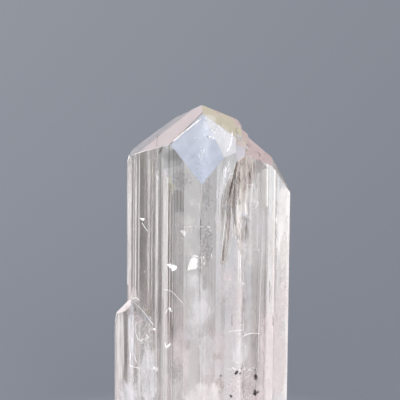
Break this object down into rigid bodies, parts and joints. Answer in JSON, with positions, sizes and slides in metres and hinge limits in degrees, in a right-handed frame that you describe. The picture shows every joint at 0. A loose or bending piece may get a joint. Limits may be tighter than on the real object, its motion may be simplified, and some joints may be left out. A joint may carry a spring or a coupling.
{
  "type": "danburite crystal",
  "caption": "Tall lozenge-shaped prism of clear, pale pink crystal with a roof of flat faces, striated sides and smaller crystals grown on in parallel, cut flat at the foot.",
  "frame": {"origin": "on the flat foot, at the middle of the bounding box's bottom", "axes": "+Z along the crystal from its flat foot to its point; -Y is the front, where the large lozenge face slopes at the top; +X is to the right as seen from the front"},
  "size_m": [0.026, 0.0216, 0.07],
  "materials": {
    "crystal": "clear crystal with a glassy lustre, colourless above and faintly pink and milky below"
  },
  "bodies": {
    "root": {"danburite_crystal": "crystal"}
  },
  "joints": []
}
